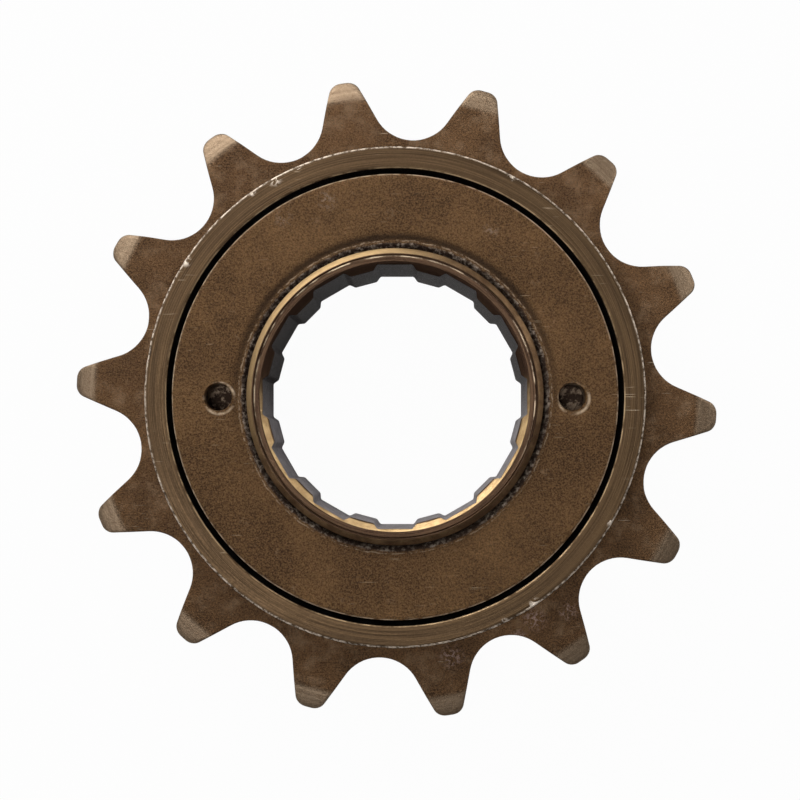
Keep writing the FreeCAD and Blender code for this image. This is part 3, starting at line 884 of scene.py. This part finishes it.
def core_material():
    look = Look("core_steel")
    streak = look.rings(7.0, 2.0)
    body, fine = brown_steel(look, srgb(42, 30, 23), srgb(72, 55, 43), 0.5, 7.0)
    lip = look.mix(look.span(streak, 0.35, 0.65), body, srgb(84, 65, 50))
    patch = look.span(look.noise(0.7), 0.35, 0.65)
    rubbed = look.mix(patch, srgb(100, 78, 58), srgb(134, 108, 80))
    # Painted highlight: the rubbed chamfer colour turns paler towards the upper left, where the
    # light falls, so from here rubbed holds rubbed wear and a painted highlight.
    painted_highlight_upper_left = look.span(look.math("SUBTRACT", look.y, look.x), 4.0, 16.0)
    rubbed = look.mix(painted_highlight_upper_left, rubbed, srgb(178, 150, 110))
    gold = look.mix(patch, srgb(172, 142, 102), srgb(204, 173, 128))
    rim = look.span(look.z, lip_shoulder - 0.1, lip_shoulder + 0.02)
    chamfer = look.span(look.radius, lip_land - 0.02, lip_land + 0.06)
    colour = look.mix(look.math("MULTIPLY", rim, chamfer), lip, rubbed)
    # Pale burr line on the lip: the burr is real, but it is painted pale only on the upper side,
    # where it catches the light, so it is partly a painted highlight.
    ridge_painted_highlight = look.near(look.radius, lip_land - 0.25, 0.1)
    ridge_painted_highlight = look.math("MULTIPLY", ridge_painted_highlight, rim)
    ridge_painted_highlight = look.math("MULTIPLY", ridge_painted_highlight, look.span(look.noise(0.5), 0.42, 0.62))
    ridge_painted_highlight = look.math("MULTIPLY", ridge_painted_highlight, look.span(look.y, -7.0, -1.0))
    colour = look.mix(ridge_painted_highlight, colour, srgb(196, 176, 150))
    cone = look.span(look.radius, lead_in_radius + 0.02, lead_in_radius - 0.05)
    # Painted shade: the gold lead-in cone is darkened towards the top, where it faces away from the
    # light.
    sway = look.math("MULTIPLY", look.noise(0.6), 3.0)
    painted_top_shade = look.span(look.math("ADD", look.y, sway), -1.5, 4.0)
    gold = look.mix(painted_top_shade, gold, srgb(64, 48, 38))
    colour = look.mix(look.math("MULTIPLY", cone, rim), colour, gold)
    deep = look.span(look.z, lip_face - 0.55, lip_face - 0.66)
    deep = look.math("MULTIPLY", deep, look.math("LESS_THAN", look.radius, lead_in_radius))
    deep = look.math("MULTIPLY", deep, look.math("LESS_THAN", look.z, lip_face - 0.2))
    wall = look.math("MAXIMUM", deep, spline_side(look))
    blotches = look.span(look.noise(1.2, 3.0, 0.6), 0.3, 0.7)
    bore = look.mix(blotches, srgb(128, 122, 126), srgb(164, 158, 160))
    # Painted shade: the bore's walls are darkened towards the top as well.
    bore = look.mix(painted_top_shade, bore, srgb(50, 41, 37))
    colour = look.mix(wall, colour, bore)
    back = look.math("LESS_THAN", look.z, spline_rear - 0.05)
    inside = look.math("MULTIPLY", back, look.math("LESS_THAN", look.radius, relief_radius + 0.01))
    colour = look.mix(inside, colour, srgb(96, 84, 72))
    rough = look.span(fine, 0.0, 1.0, 0.34, 0.5)
    metallic = look.math("SUBTRACT", 0.9, look.math("MULTIPLY", wall, 0.5))
    return look.finish(colour, rough, metallic, [(streak, 0.04), (look.noise(5.5, 4.0, 0.7), 0.05)])


def spline_side(look):
    """1 on the walls of the splined bore, below the lead-in cone at each radius."""
    slope = lead_in_depth / (lead_in_radius - crest_radius)
    drop = look.math("MULTIPLY", look.math("SUBTRACT", lead_in_radius, look.radius), slope)
    foot = look.math("SUBTRACT", lip_face - 0.1, drop)
    below = look.math("LESS_THAN", look.z, foot)
    return look.math("MULTIPLY", below, look.math("LESS_THAN", look.radius, lead_in_radius))


def plain_steel(name, dark, light, roughness, grain=6.0, depth=0.02):
    """Ground or drawn steel for the pieces inside."""
    look = Look(name)
    fine = look.span(look.noise(grain, 4.0, 0.65), 0.3, 0.7)
    patch = look.span(look.noise(0.8, 2.0, 0.5), 0.35, 0.65)
    colour = look.mix(look.math("MULTIPLY", look.math("ADD", fine, patch), 0.5), dark, light)
    rough = look.span(patch, 0.0, 1.0, roughness, roughness + 0.14)
    return look.finish(colour, rough, 0.95, [(fine, depth)])


def dress(made, material, body, slot_name, *nodes):
    """Gives a built piece its material and its body, and hides the nodes that it stands for.
    slot_name is not used.
    """
    made.data.materials.clear()
    made.data.materials.append(material)
    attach(made, body)
    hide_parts(*nodes)


def paint(node, material):
    """Gives a node of the model a better material."""
    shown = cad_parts[node]
    if not shown.material_slots:
        shown.data.materials.append(material)
    for place in shown.material_slots:
        place.material = material


def build_part():
    front_balls = sorted(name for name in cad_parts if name.startswith("front_ball"))
    bright, brighter = srgb(196, 196, 198), srgb(226, 226, 226)
    polished = plain_steel("polished_balls", bright, brighter, 0.12, 9.0, 0.002)
    ground = plain_steel("ground_pawls", srgb(112, 106, 100), srgb(160, 152, 144), 0.3)
    drawn = plain_steel("drawn_wire", srgb(104, 98, 92), srgb(150, 142, 134), 0.28, 12.0)
    rolled = plain_steel("rolled_shims", srgb(150, 146, 140), srgb(188, 182, 174), 0.26)
    dress(build_sprocket(), sprocket_material(), "sprocket", "sprocket_steel", "sprocket_ring")
    dress(build_cap(), cap_material(), "core_group", "cap_steel", "bearing_cap")
    dress(build_core(), core_material(), "core_group", "core_steel", "core")
    rear = build_balls("rear_ball_row_bright", rear_balls_z)
    dress(rear, polished, "rear_ball_row", "ball_steel", "rear_balls")
    front = build_balls("front_ball_row_bright", front_balls_z)
    dress(front, polished, "front_ball_row", "ball_steel", *front_balls)
    for letter in "ab":
        paint("pawl_" + letter, ground)
        paint("pawl_spring_" + letter, drawn)
    for node in ("thick_shim", "thin_shim"):
        paint(node, rolled)


# Studio


def floor_material():
    """White paper: white to the camera and to rays through glass, with the object's soft shadow on
    it.
    """
    material = bpy.data.materials.new("white_paper")
    material.use_nodes = True
    tree = material.node_tree
    shader = tree.nodes["Principled BSDF"]
    shader.inputs["Base Color"].default_value = (0.4, 0.4, 0.4, 1.0)
    shader.inputs["Roughness"].default_value = 0.9
    shader.inputs["Specular IOR Level"].default_value = 0.0
    glow = tree.nodes.new("ShaderNodeEmission")
    glow.inputs["Strength"].default_value = 1.0
    path = tree.nodes.new("ShaderNodeLightPath")
    seen = tree.nodes.new("ShaderNodeMath")
    seen.operation = "ADD"
    seen.use_clamp = True
    tree.links.new(path.outputs["Is Camera Ray"], seen.inputs[0])
    tree.links.new(path.outputs["Is Transmission Ray"], seen.inputs[1])
    share = tree.nodes.new("ShaderNodeMath")
    share.operation = "MULTIPLY"
    share.inputs[1].default_value = 0.97
    tree.links.new(seen.outputs[0], share.inputs[0])
    blend = tree.nodes.new("ShaderNodeMixShader")
    tree.links.new(share.outputs[0], blend.inputs[0])
    tree.links.new(shader.outputs[0], blend.inputs[1])
    tree.links.new(glow.outputs[0], blend.inputs[2])
    tree.links.new(blend.outputs[0], tree.nodes["Material Output"].inputs[0])
    return material


def build_floor():
    size = 900.0
    low = -0.02
    floor = piece(
        "floor",
        [(-size, -size, low), (size, -size, low), (size, size, low), (-size, size, low)],
        [(0, 1, 2, 3)],
    )
    floor.data.materials.append(floor_material())


def lamp(name, place, target, width, height, power, colour=(1.0, 1.0, 1.0)):
    """A soft rectangular lamp, aimed at a point. Places are in millimetres."""
    light = bpy.data.lights.new(name, "AREA")
    light.shape = "RECTANGLE"
    light.size = width * MM
    light.size_y = height * MM
    light.energy = power
    light.color = colour
    made = bpy.data.objects.new(name, light)
    made.location = Vector(place) * MM
    made.rotation_euler = (Vector(target) - Vector(place)).to_track_quat("-Z", "Y").to_euler()
    bpy.context.scene.collection.objects.link(made)


def build_lights():
    middle = (0, 0, 10)
    lamp("window", (-220, 430, 260), middle, 560, 300, 3.5, (1.0, 0.985, 0.96))
    lamp("side_window", (430, 230, 190), middle, 260, 200, 0.8, (1.0, 0.985, 0.96))
    lamp("ceiling", (-130, -70, 480), middle, 240, 240, 1.65)
    world = bpy.data.worlds.new("studio")
    bpy.context.scene.world = world
    world.use_nodes = True
    tree = world.node_tree
    back = tree.nodes["Background"]
    path = tree.nodes.new("ShaderNodeLightPath")
    tone = tree.nodes.new("ShaderNodeMapRange")
    tone.inputs["To Min"].default_value = 0.11
    tone.inputs["To Max"].default_value = 1.0
    tree.links.new(path.outputs["Is Camera Ray"], tone.inputs["Value"])
    back.inputs["Color"].default_value = (1.0, 1.0, 1.0, 1.0)
    tree.links.new(tone.outputs["Result"], back.inputs["Strength"])


def build_camera():
    """The photograph's camera, straight above and a little aside, fitted to its circles."""
    lens = bpy.data.cameras.new("camera")
    lens.lens = 51.56
    lens.sensor_width = 36.0
    lens.shift_x = -0.0401
    lens.shift_y = 0.0681
    lens.clip_start = 0.005
    camera = bpy.data.objects.new("camera", lens)
    camera.location = Vector((3.392, -5.270, 119.8)) * MM
    bpy.context.scene.collection.objects.link(camera)
    bpy.context.scene.camera = camera


bpy.context.scene.view_settings.view_transform = "Standard"
build_part()
build_floor()
build_lights()
build_camera()
